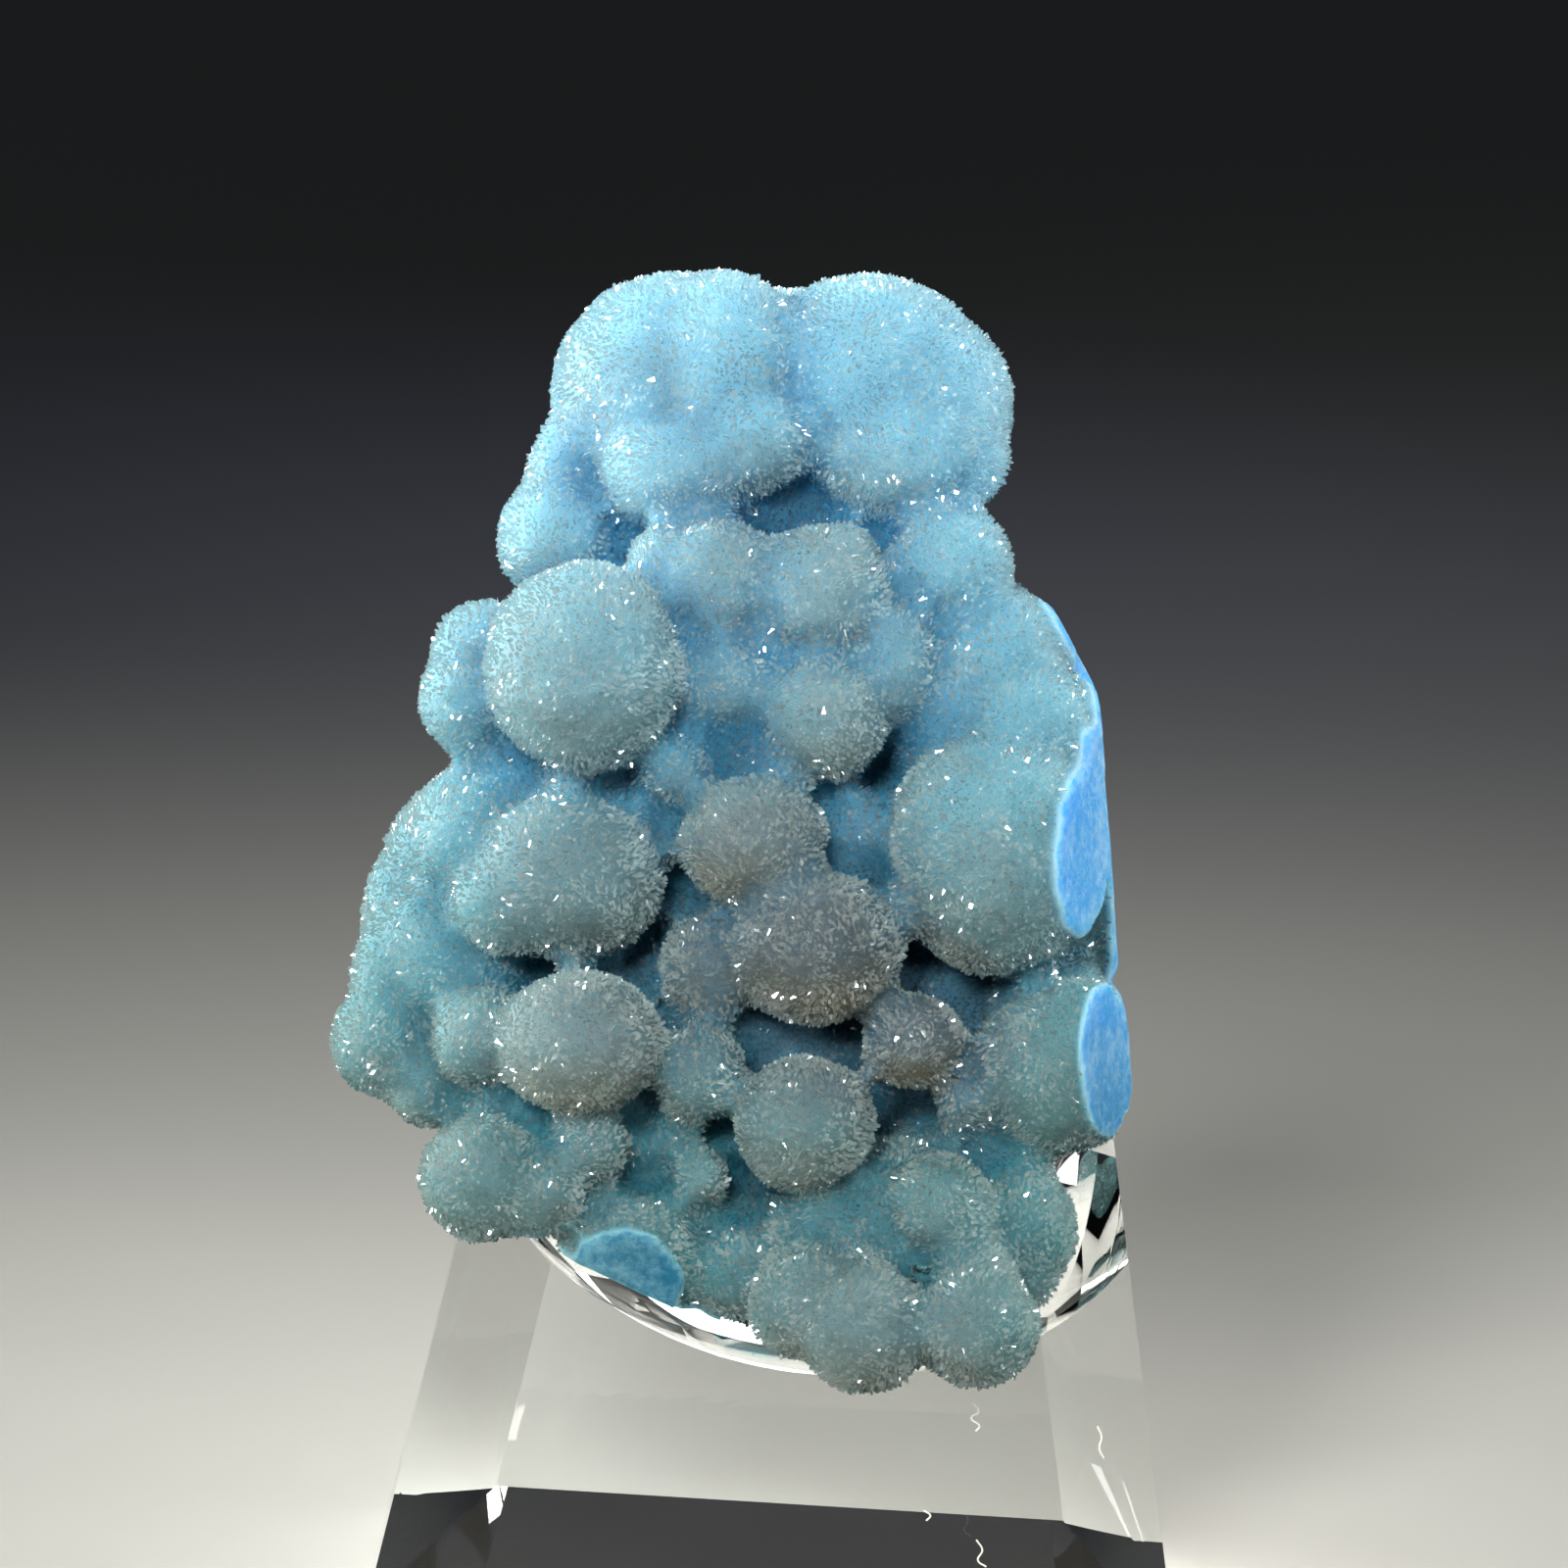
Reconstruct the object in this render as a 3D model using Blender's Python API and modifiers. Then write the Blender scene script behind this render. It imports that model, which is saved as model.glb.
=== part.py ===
"""A blue botryoidal hemimorphite standing in the carved seat of its clear acrylic stand.

Two pieces: the stone, which grew as one body of round lobes and is one solid, and the
block of polished acrylic that holds it. Metres, +Z up, the stone's face towards -Y, and
the origin under the middle of the stand, on the plane that it stands on.
"""

import math

import bmesh
import bpy
from mathutils import Matrix, Vector, noise

MM = 0.001

# The stand: a tapered block with chamfered corners, and an undercut along its front.
STAND_WIDTH = 49.0 * MM
STAND_DEPTH = 32.0 * MM
STAND_HEIGHT = 26.8 * MM
SIDE_TAPER_DEG = 10.6
FACE_TAPER_DEG = 4.0
CORNER_CHAMFER = 5.9 * MM
UNDERCUT_HEIGHT = 9.2 * MM
UNDERCUT_DEPTH = 5.3 * MM

# The stone leans back in its seat and a little to its own right. Its own directions are
# across its face, up its face, and back, away from the viewer.
LEAN_BACK_DEG = 10.0
LEAN_SIDE_DEG = 3.5
STONE_FOOT = Vector((-2.5, -5.0, 12.4)) * MM
TILT = Matrix.Rotation(math.radians(-LEAN_BACK_DEG), 3, "X") @ Matrix.Rotation(
    math.radians(-LEAN_SIDE_DEG), 3, "Y"
)

# The seat is a ball-shaped scoop, cut from the front face, whose rim is a wide arc.
SEAT_CENTRE = (6.5, 28.7, -11.0)
SEAT_RADIUS = 27.1 * MM
SEAT_SEGMENTS = 56

# How the stone's surface is made: low lumps with finer ones on them, and one skin.
LUMP_SIZE = 2.6 * MM
LUMP_HEIGHT = 0.22 * MM
FINE_LUMP_SIZE = 1.1 * MM
FINE_LUMP_SHARE = 0.55
FINE_LUMP_SHIFT = Vector((7.1, 3.3, 5.7))
SKIN_GRID = 0.45 * MM
SOFTENING_ROUNDS = 5
STONE_TRIANGLES = 7700

# Behind each lobe a stalk of smaller balls runs back into the core. How much smaller and
# how close they are, and where a stalk may end, in millimetres: not too far to a side,
# and higher beside the seat than over it.
STALK_SHRINK = 0.86
STALK_STEP = 0.8
ROOT_ACROSS_SHARE = 0.86
ROOT_ACROSS_LIMIT = 15.5
ROOT_TOP = 60.0
ROOT_BACK = -2.0
FOOT_TOP = 17.0
FOOT_ROOT_BACK = -5.0
SEAT_MIDDLE = 2.0
SEAT_HALF_WIDTH = 8.0
ROOT_OVER_SEAT = 13.5
ROOT_RISE_BESIDE_SEAT = 0.6

# How the broken faces are made: how deep their cutters are, and the size of the uneven
# places on them.
BREAK_DEPTH = 30.0 * MM
CHIP_DEPTH = 8.0 * MM
BREAK_GRID = 3.0 * MM
HACKLE_SIZE = 7.0 * MM
FINE_HACKLE_SIZE = 3.1 * MM
FINE_HACKLE_SHARE = 0.5

# The body that the lobes grow from: centre (across, up, back) and radii, in millimetres.
CORE = (
    ("head", (2.4, 60.0, 0.5), (12.0, 7.8, 8.5)),
    ("shoulders", (1.5, 46.0, 0.5), (15.0, 11.5, 9.2)),
    ("middle_wall", (1.0, 44.5, -2.0), (9.5, 8.0, 8.6)),
    ("chest", (0.5, 33.5, 0.5), (19.0, 12.5, 9.5)),
    ("right_flank", (16.0, 34.0, -1.5), (8.5, 13.5, 8.0)),
    ("right_low_flank", (18.5, 21.0, -5.0), (5.6, 5.6, 7.5)),
    ("hips", (-0.5, 23.0, -0.5), (20.0, 9.0, 8.8)),
    ("foot_left", (-5.0, 15.5, -5.0), (8.5, 5.2, 5.2)),
    ("foot_right", (9.0, 10.6, -7.5), (9.0, 6.0, 6.6)),
    ("foot_back", (4.5, 9.6, -3.8), (9.5, 6.2, 6.0)),
)

# The lobes: centre across and up, how far the front stands out, and the radii across and
# up, in millimetres. Neighbours in the list are neighbours on the stone.
LOBES = (
    # broad swells that the smaller lobes sit on
    ("crown_left_swell", -4.3, 61.2, 9.9, 7.7, 7.4),
    ("crown_right_swell", 9.2, 60.6, 10.2, 6.5, 7.2),
    ("middle_swell", 1.8, 46.4, 12.4, 7.6, 6.4),
    ("middle_low_swell", 1.4, 40.6, 12.2, 7.2, 5.4),
    ("right_swell", 13.6, 41.0, 11.6, 7.2, 9.6),
    ("left_upper_swell", -14.6, 33.0, 10.4, 7.4, 5.6),
    ("left_swell", -17.2, 26.2, 10.6, 6.4, 7.6),
    ("low_left_swell", -6.5, 18.4, 11.2, 7.0, 5.0),
    # the crown: two large cushions with a crease between them
    ("crown_left", -5.7, 60.9, 9.0, 6.3, 6.9),
    ("crown_left_top", -8.0, 62.8, 6.5, 3.6, 3.8),
    ("crown_middle", -1.3, 61.3, 11.0, 6.2, 7.3),
    ("crown_middle_low", 0.1, 58.6, 11.2, 4.5, 4.5),
    ("crown_foot", -3.6, 56.4, 11.0, 5.6, 4.7),
    ("crown_right", 7.3, 61.7, 10.6, 6.9, 6.8),
    ("crown_right_side", 10.4, 60.0, 10.0, 6.2, 6.6),
    ("crown_right_top", 10.6, 63.2, 7.5, 3.9, 3.9),
    ("crown_right_low", 9.2, 57.8, 10.9, 5.6, 5.4),
    ("crown_right_edge", 12.8, 57.2, 8.5, 3.6, 3.9),
    # the left side of the neck
    ("neck_left", -10.5, 56.3, 5.5, 3.1, 3.1),
    ("neck_left_tip", -11.6, 58.4, 4.0, 1.2, 1.2),
    ("neck_left_low", -11.1, 52.1, 7.0, 4.2, 4.2),
    ("neck_back", -6.6, 54.0, 5.5, 3.4, 3.3),
    # the greyish ball that stands out furthest on the left, and the two behind it
    ("ball_left", -9.5, 44.2, 19.0, 6.3, 6.65),
    ("ball_left_behind", -15.8, 45.2, 10.0, 3.4, 3.4),
    ("ball_left_under", -16.1, 42.3, 11.0, 3.8, 3.9),
    # the middle cluster
    ("middle_top", -2.0, 49.0, 13.7, 5.2, 4.6),
    ("middle_top_left", -4.5, 50.4, 12.4, 2.8, 2.8),
    ("middle_top_right", 4.5, 48.4, 13.8, 4.9, 4.7),
    ("middle_top_knob", 6.0, 51.0, 12.2, 2.2, 2.2),
    ("middle_centre", 4.6, 41.2, 15.0, 4.3, 4.2),
    ("middle_centre_side", 9.0, 44.4, 12.7, 3.3, 4.6),
    ("middle_hollow", -1.4, 43.5, 13.7, 4.4, 4.0),
    ("middle_small", -4.2, 38.3, 13.4, 2.9, 2.7),
    ("middle_link", 1.8, 37.8, 12.5, 2.7, 2.6),
    ("middle_low", 0.6, 33.8, 16.5, 4.8, 4.4),
    ("middle_recess", 6.7, 33.6, 11.2, 3.2, 4.6),
    ("left_recess", -6.3, 36.2, 11.2, 3.7, 3.5),
    # the right side
    ("right_top", 12.2, 50.4, 11.2, 4.3, 4.3),
    ("right_upper", 14.9, 44.2, 11.5, 5.2, 5.2),
    ("right_edge", 17.0, 45.0, 9.0, 3.2, 3.2),
    ("right_patch", 17.0, 39.9, 13.5, 5.3, 5.2),
    ("right_large", 15.3, 33.3, 17.5, 7.1, 7.9),
    ("right_low", 18.9, 20.1, 15.0, 5.4, 5.4),
    ("right_low_inner", 20.3, 21.6, 15.6, 3.9, 4.2),
    ("right_low_back", 18.2, 24.4, 10.5, 4.2, 3.8),
    # the left side
    ("left_upper", -15.6, 33.9, 11.5, 5.2, 5.1),
    ("left_upper_ridge", -13.2, 37.2, 10.5, 3.4, 3.0),
    ("left_under_ball", -10.4, 37.4, 12.0, 2.5, 2.3),
    ("left_large", -10.6, 31.8, 15.5, 6.2, 5.8),
    ("left_large_side", -13.9, 30.2, 14.3, 3.9, 3.7),
    ("left_flank", -19.7, 29.4, 7.5, 3.8, 4.9),
    ("left_flank_low", -21.0, 25.6, 9.0, 3.1, 3.6),
    ("left_tip", -21.5, 21.7, 10.0, 3.8, 3.8),
    ("left_tip_low", -18.9, 19.2, 10.5, 3.1, 3.1),
    ("left_slope", -17.2, 25.2, 9.0, 3.6, 3.4),
    ("left_low", -9.8, 21.7, 18.5, 5.4, 4.6),
    ("left_low_side", -15.4, 21.9, 14.0, 3.8, 3.5),
    # the lower middle
    ("heart", 4.3, 27.5, 17.5, 5.6, 5.0),
    ("heart_left", -1.7, 26.1, 13.0, 3.7, 3.9),
    ("heart_right", 10.2, 21.8, 14.4, 3.3, 3.2),
    ("heart_right_low", 13.7, 18.1, 12.2, 2.6, 2.6),
    ("heart_right_small", 15.6, 16.4, 11.0, 2.1, 2.0),
    ("belly", 3.6, 16.9, 17.5, 4.5, 4.4),
    ("belly_left", -2.8, 19.8, 14.0, 3.4, 3.5),
    ("belly_knob", -2.5, 13.5, 12.8, 1.9, 2.0),
    ("belly_hollow", -4.6, 15.6, 11.4, 3.3, 2.9),
    # the foot
    ("foot_left_outer", -15.5, 13.6, 15.9, 4.2, 4.1),
    ("foot_left_bump", -16.1, 15.3, 14.6, 2.5, 2.4),
    ("foot_left_small", -9.5, 15.4, 14.6, 3.0, 2.9),
    ("foot_left_fill", -12.0, 12.7, 15.3, 2.9, 2.9),
    ("foot_broken", -6.7, 8.9, 14.3, 4.6, 4.6),
    ("foot_link", -3.4, 10.6, 11.5, 2.8, 2.7),
    ("foot_middle", -0.5, 7.9, 13.0, 3.2, 3.1),
    ("foot_middle_right", 3.9, 6.2, 18.2, 3.9, 3.8),
    ("foot_front_left", 7.1, 5.0, 20.5, 4.2, 4.2),
    ("foot_front_right", 13.9, 5.0, 20.2, 4.0, 4.0),
    ("foot_right_upper", 11.8, 11.8, 16.6, 3.5, 3.6),
    ("foot_right_side", 16.2, 10.5, 13.4, 4.1, 4.3),
    ("foot_right_edge", 16.2, 8.0, 12.5, 3.1, 3.1),
    ("foot_inner_small", 7.4, 13.1, 13.5, 2.1, 2.1),
    ("foot_inner_right", 12.3, 8.0, 15.5, 3.4, 3.3),
    ("foot_inner_left", 5.4, 10.6, 14.0, 3.3, 3.3),
)

# The broken faces, where the stone was parted from its vug: a point on each and the way
# that it faces, both as (across, up, back), the size of the cut and its roughness, in
# millimetres.
BREAKS = (
    ("back_break", (0.0, 36.0, 7.0), (0.0, -0.02, 1.0), 78.0, 1.6),
    ("back_foot_break", (3.0, 12.0, 3.4), (0.0, -0.62, 0.78), 60.0, 0.8),
    ("right_break", (21.3, 43.0, 0.0), (0.996, 0.088, 0.0), 70.0, 0.18),
    ("right_shoulder_break", (19.6, 46.2, 0.0), (0.877, 0.48, 0.0), 18.0, 0.18),
)
# The two lobes on the right that broke open, and the one at the foot with its underside:
# the break only takes what lies inside the box around its point, (width, height).
CHIPS = (
    ("right_large_chip", (20.5, 32.6, -12.1), (0.93, -0.02, -0.37), (16.0, 14.0), 0.12),
    ("right_low_chip", (22.0, 20.6, -10.9), (0.92, 0.0, -0.39), (14.0, 11.0), 0.12),
    ("foot_chip", (-7.0, 7.7, -12.6), (-0.10, -0.42, -0.90), (8.8, 8.8), 0.10),
    ("foot_under_chip", (-7.2, 7.45, -8.0), (-0.43, -0.90, 0.06), (14.0, 12.0), 0.12),
)


def on_stone(across, up, back):
    """The world position of a point given in the stone's own millimetres."""
    return STONE_FOOT + TILT @ (Vector((across, back, up)) * MM)


def turned(across, up, back):
    """A direction given in the stone's own axes, in the world."""
    return (TILT @ Vector((across, back, up))).normalized()


def new_object(name, mesh_edit, collection):
    """A mesh object named name from a filled bmesh."""
    mesh = bpy.data.meshes.new(name)
    mesh_edit.to_mesh(mesh)
    mesh_edit.free()
    made = bpy.data.objects.new(name, mesh)
    collection.objects.link(made)
    return made


def hide_as_cutter(cutter):
    cutter.hide_render = True
    cutter.display_type = "WIRE"
    return cutter


def finish(name, colour, roughness, transmission=0.0):
    """A Principled material."""
    material = bpy.data.materials.new(name)
    material.use_nodes = True
    shader = material.node_tree.nodes["Principled BSDF"]
    shader.inputs["Base Color"].default_value = (*colour, 1.0)
    shader.inputs["Roughness"].default_value = roughness
    shader.inputs["Metallic"].default_value = 0.0
    shader.inputs["Transmission Weight"].default_value = transmission
    return material


def lumps(point):
    """How far the crust swells at a point: low lumps with finer ones on them."""
    broad = noise.noise(point / LUMP_SIZE)
    fine = noise.noise(point / FINE_LUMP_SIZE + FINE_LUMP_SHIFT)
    return LUMP_HEIGHT * (broad + FINE_LUMP_SHARE * fine)


def add_ball(heap, centre, radii, turns, with_lumps=True):
    """Adds one lumpy ellipsoid to the heap of shapes."""
    made = bmesh.ops.create_icosphere(heap, subdivisions=4 if with_lumps else 3, radius=1.0)
    for corner in made["verts"]:
        out = corner.co.copy()
        place = centre + turns @ Vector(a * b for a, b in zip(out, radii))
        if with_lumps:
            place += (turns @ out) * lumps(place)
        corner.co = place


def root_behind(across, up):
    """Where a lobe's stalk ends: a point inside the core, in the stone's millimetres."""
    root_across = ROOT_ACROSS_SHARE * across
    root_across = max(-ROOT_ACROSS_LIMIT, min(ROOT_ACROSS_LIMIT, root_across))
    beside_seat = max(0.0, abs(across - SEAT_MIDDLE) - SEAT_HALF_WIDTH)
    lowest = ROOT_OVER_SEAT + ROOT_RISE_BESIDE_SEAT * beside_seat
    root_up = max(lowest, min(ROOT_TOP, up))
    return root_across, root_up, ROOT_BACK if up > FOOT_TOP else FOOT_ROOT_BACK


def add_lobe(heap, across, up, stands_out, radius_across, radius_up):
    """One lobe: a ball in front, and a stalk of smaller balls back to the core."""
    depth_radius = (radius_across + radius_up) / 2
    head = on_stone(across, up, depth_radius - stands_out)
    add_ball(heap, head, Vector((radius_across, depth_radius, radius_up)) * MM, TILT)
    root = on_stone(*root_behind(across, up))
    run = root - head
    width = depth_radius * STALK_SHRINK * MM
    steps = math.ceil(run.length / (width * STALK_STEP))
    for step in range(1, steps + 1):
        centre = head + run * (step / steps)
        add_ball(heap, centre, Vector((width, width, width)), TILT, with_lumps=False)


def keep_outer_shell(mesh):
    """Removes what lies apart from the stone, such as the walls of sealed gaps."""
    edit = bmesh.new()
    edit.from_mesh(mesh)
    edit.verts.ensure_lookup_table()
    unseen = set(edit.verts)
    shells = []
    while unseen:
        shell = {unseen.pop()}
        edge_of_search = list(shell)
        while edge_of_search:
            corner = edge_of_search.pop()
            for edge in corner.link_edges:
                other = edge.other_vert(corner)
                if other in unseen:
                    unseen.remove(other)
                    shell.add(other)
                    edge_of_search.append(other)
        shells.append(shell)
    shells.sort(key=len, reverse=True)
    for shell in shells[1:]:
        bmesh.ops.delete(edit, geom=list(shell), context="VERTS")
    edit.to_mesh(mesh)
    edit.free()


def apply_modifiers(piece):
    graph = bpy.context.evaluated_depsgraph_get()
    mesh = bpy.data.meshes.new_from_object(piece.evaluated_get(graph))
    piece.modifiers.clear()
    piece.data = mesh


def fused(heap, name, collection):
    """The heap of overlapping balls as one skin, thinned to the triangles that it needs."""
    stone = new_object(name, heap, collection)
    skin = stone.modifiers.new("one skin", "REMESH")
    skin.mode = "VOXEL"
    skin.voxel_size = SKIN_GRID
    soften = stone.modifiers.new("soft creases", "SMOOTH")
    soften.factor = 0.5
    soften.iterations = SOFTENING_ROUNDS
    apply_modifiers(stone)
    keep_outer_shell(stone.data)
    stone.data.calc_loop_triangles()
    thin = stone.modifiers.new("fewer faces", "DECIMATE")
    thin.ratio = STONE_TRIANGLES / len(stone.data.loop_triangles)
    apply_modifiers(stone)
    return stone


def rough_block(name, point, facing, size, roughness, collection):
    """A cutter: a block whose near side is a slightly rough plane through point.

    size is (width, height, depth) of the block, in metres, the depth along facing.
    """
    width, height, depth = size
    block = bmesh.new()
    across_cells = max(3, round(width / BREAK_GRID))
    up_cells = max(3, round(height / BREAK_GRID))
    bmesh.ops.create_grid(block, x_segments=across_cells, y_segments=up_cells, size=0.5)
    for corner in block.verts:
        corner.co = Vector((corner.co.x * width, corner.co.y * height, 0.0))
    swept = bmesh.ops.extrude_face_region(block, geom=list(block.faces))
    top = [part for part in swept["geom"] if isinstance(part, bmesh.types.BMVert)]
    bmesh.ops.translate(block, verts=top, vec=(0.0, 0.0, depth))
    turn = facing.to_track_quat("Z", "Y").to_matrix()
    near = set(block.verts) - set(top)
    for corner in block.verts:
        place = point + turn @ corner.co
        if corner in near:
            hackle = noise.noise(place / HACKLE_SIZE)
            hackle += FINE_HACKLE_SHARE * noise.noise(place / FINE_HACKLE_SIZE)
            place += facing * roughness * hackle
        corner.co = place
    bmesh.ops.recalc_face_normals(block, faces=block.faces)
    if block.calc_volume(signed=True) < 0:
        bmesh.ops.reverse_faces(block, faces=block.faces)
    return hide_as_cutter(new_object(name, block, collection))


def cut_with(piece, cutter):
    cut = piece.modifiers.new(cutter.name, "BOOLEAN")
    cut.operation = "DIFFERENCE"
    cut.object = cutter


def hemimorphite(collection, cutters):
    """The stone: a core, its lobes, and the faces where it broke."""
    heap = bmesh.new()
    for _, centre, radii in CORE:
        across, up, back = radii
        add_ball(heap, on_stone(*centre), Vector((across, back, up)) * MM, TILT)
    for _, *lobe in LOBES:
        add_lobe(heap, *lobe)
    stone = fused(heap, "hemimorphite", collection)
    for name, point, facing, size, rough in BREAKS:
        block = (size * MM, size * MM, BREAK_DEPTH)
        cutter = rough_block(
            name, on_stone(*point), turned(*facing), block, rough * MM, cutters
        )
        cut_with(stone, cutter)
    for name, point, facing, size, rough in CHIPS:
        block = (size[0] * MM, size[1] * MM, CHIP_DEPTH)
        cutter = rough_block(
            name, on_stone(*point), turned(*facing), block, rough * MM, cutters
        )
        cut_with(stone, cutter)
    stone.data.materials.append(finish("hemimorphite", (0.16, 0.46, 0.60), 0.35))
    return stone


def saw(block, point, facing):
    """Cuts off what lies beyond the plane through point, and closes the cut."""
    parts = list(block.verts) + list(block.edges) + list(block.faces)
    done = bmesh.ops.bisect_plane(
        block, geom=parts, plane_co=point, plane_no=facing, clear_outer=True
    )
    rim = [part for part in done["geom_cut"] if isinstance(part, bmesh.types.BMEdge)]
    bmesh.ops.contextual_create(block, geom=rim)


def acrylic_stand(collection, cutters):
    """The stand: a sawn and polished block with a ball-shaped seat scooped into it."""
    block = bmesh.new()
    bmesh.ops.create_cube(block, size=1.0)
    size = Vector((STAND_WIDTH, STAND_DEPTH, STAND_HEIGHT))
    for corner in block.verts:
        corner.co = Vector(a * b for a, b in zip(corner.co + Vector((0, 0, 0.5)), size))
    half_width = STAND_WIDTH / 2
    half_depth = STAND_DEPTH / 2
    side_slope = math.radians(SIDE_TAPER_DEG)
    face_slope = math.radians(FACE_TAPER_DEG)
    undercut = Vector((0.0, -UNDERCUT_HEIGHT, -UNDERCUT_DEPTH)).normalized()
    for side in (-1, 1):
        saw(
            block,
            Vector((side * half_width, 0, 0)),
            Vector((side * math.cos(side_slope), 0, math.sin(side_slope))),
        )
        saw(
            block,
            Vector((0, side * half_depth, 0)),
            Vector((0, side * math.cos(face_slope), math.sin(face_slope))),
        )
    for side in (-1, 1):
        for face in (-1, 1):
            corner = Vector((side * (half_width - CORNER_CHAMFER), face * half_depth, 0))
            lean = math.sin(side_slope) + math.sin(face_slope)
            saw(block, corner, Vector((side, face, lean)).normalized())
    saw(block, Vector((0, UNDERCUT_DEPTH - half_depth, 0)), undercut)
    bmesh.ops.recalc_face_normals(block, faces=block.faces)
    stand = new_object("acrylic_stand", block, collection)
    ball = bmesh.new()
    bmesh.ops.create_uvsphere(
        ball, u_segments=SEAT_SEGMENTS, v_segments=SEAT_SEGMENTS // 2, radius=SEAT_RADIUS
    )
    bmesh.ops.translate(ball, verts=ball.verts, vec=on_stone(*SEAT_CENTRE))
    seat = hide_as_cutter(new_object("seat_scoop", ball, cutters))
    cut_with(stand, seat)
    stand.data.materials.append(finish("clear acrylic", (0.93, 0.95, 0.95), 0.03, 1.0))
    return stand


def main():
    for old in list(bpy.data.objects):
        bpy.data.objects.remove(old)
    specimen = bpy.data.collections.new("hemimorphite specimen")
    cutters = bpy.data.collections.new("cutters")
    bpy.context.scene.collection.children.link(specimen)
    bpy.context.scene.collection.children.link(cutters)
    hemimorphite(specimen, cutters)
    acrylic_stand(specimen, cutters)


main()
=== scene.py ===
"""A blue hemimorphite on its clear acrylic stand: every surface's finish, and the studio."""

import math

import bmesh
import bpy
import numpy as np
from mathutils import Matrix, Vector, noise


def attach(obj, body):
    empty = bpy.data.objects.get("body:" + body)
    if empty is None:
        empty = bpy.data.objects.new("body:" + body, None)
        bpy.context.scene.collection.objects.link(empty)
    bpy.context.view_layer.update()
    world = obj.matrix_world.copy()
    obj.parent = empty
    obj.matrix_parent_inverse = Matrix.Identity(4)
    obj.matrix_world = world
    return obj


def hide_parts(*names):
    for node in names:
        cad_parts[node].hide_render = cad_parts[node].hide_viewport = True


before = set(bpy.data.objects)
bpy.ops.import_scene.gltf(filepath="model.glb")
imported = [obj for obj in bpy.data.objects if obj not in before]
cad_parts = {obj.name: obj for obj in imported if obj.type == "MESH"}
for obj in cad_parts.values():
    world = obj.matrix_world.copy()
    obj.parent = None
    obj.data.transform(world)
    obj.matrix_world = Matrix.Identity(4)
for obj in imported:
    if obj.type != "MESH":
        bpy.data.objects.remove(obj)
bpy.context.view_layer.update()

# The stone's body: hemimorphite that grew outwards as round lobes, all one piece. It is
# worked from the stone's solid: a fine, even skin, rounded off where the solid has flat
# facets, and set in by the depth of the crystal crust that covers it.
MM = 0.001
STONE_FOOT = Vector((-2.5, -5.0, 12.4)) * MM
STONE_LEAN = Matrix.Rotation(math.radians(-10.0), 3, "X") @ Matrix.Rotation(
    math.radians(-3.5), 3, "Y"
)
BODY_GRID = 0.376 * MM
BODY_ROUNDING = 22
DRAWN_IN = 0.6
DRAWN_IN_LESS_BROKEN = 0.5
SWOLLEN = 0.62
SWOLLEN_LESS_BROKEN = 0.52
CREASE_ROUNDING = 60
CREASE_DEEPENING = 0.9
LOBE_ROUNDING = 260
PROUD_FROM = -1.5
PROUD_TO = 0.9
CREASE_SHADE_FROM = -1.1
CREASE_SHADE_TO = -2.6
CRUST_DEPTH = 0.36 * MM
STONE_TALL = 68.0


def own_places(points):
    """World points in the stone's own millimetres: across its face, back, and up."""
    return (points - np.array(STONE_FOOT)) @ np.array(STONE_LEAN) / MM


def points_of(mesh):
    """The points of a mesh, one in each row."""
    places = np.empty(len(mesh.vertices) * 3)
    mesh.vertices.foreach_get("co", places)
    return places.reshape(-1, 3)


def directions_of(mesh):
    """The way that the surface faces at each point of a mesh."""
    facing = np.empty(len(mesh.vertices) * 3)
    mesh.vertex_normals.foreach_get("vector", facing)
    return facing.reshape(-1, 3)


def place_points(mesh, places):
    """Moves the points of a mesh to places."""
    mesh.vertices.foreach_set("co", places.ravel())
    mesh.update()


def evened(values, edges, rounds, share=0.5):
    """values at the points of a mesh, each drawn towards the mean of its neighbours."""
    ends = np.concatenate((edges[:, 0], edges[:, 1]))
    others = np.concatenate((edges[:, 1], edges[:, 0]))
    count = np.maximum(np.bincount(ends, minlength=len(values)), 1)
    for _ in range(rounds):
        if values.ndim == 1:
            mean = np.bincount(ends, values[others], len(values)) / count
            values = values + share * (mean - values)
        else:
            mean = np.stack(
                [np.bincount(ends, column[others], len(column)) / count for column in values.T], 1
            )
            values = values + np.reshape(share, (-1, 1)) * (mean - values)
    return values


def evaluated(piece):
    """Applies a piece's modifiers."""
    graph = bpy.context.evaluated_depsgraph_get()
    mesh = bpy.data.meshes.new_from_object(piece.evaluated_get(graph))
    piece.modifiers.clear()
    piece.data = mesh


def add_values(mesh, name, values):
    """Stores a value at each point of a mesh, for its materials."""
    mesh.attributes.new(name, "FLOAT", "POINT").data.foreach_set("value", values.astype(float))


# Where the stone broke from its vug: a point on each face, the way it faces, how far the
# face reaches from the point, and how flat it is, in the stone's own millimetres.
BREAKS = (
    ("back", (0.0, 7.0, 36.0), (0.0, 1.0, -0.02), 60.0, 1.9),
    ("back_foot", (3.0, 3.4, 12.0), (0.0, 0.78, -0.62), 30.0, 1.2),
    ("right", (21.3, 0.0, 43.0), (0.996, 0.0, 0.088), 40.0, 0.45),
    ("right_shoulder", (19.6, 0.0, 46.2), (0.877, 0.0, 0.48), 9.0, 0.45),
    ("right_large_chip", (20.5, -12.1, 32.6), (0.93, -0.37, -0.02), 8.0, 0.35),
    ("right_low_chip", (22.0, -10.9, 20.6), (0.92, -0.39, 0.0), 7.0, 0.35),
    ("foot_chip", (-7.0, -12.6, 7.7), (-0.10, -0.90, -0.42), 4.6, 0.35),
    ("foot_under_chip", (-7.2, -8.0, 7.45), (-0.43, 0.06, -0.90), 8.0, 0.4),
)


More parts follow.
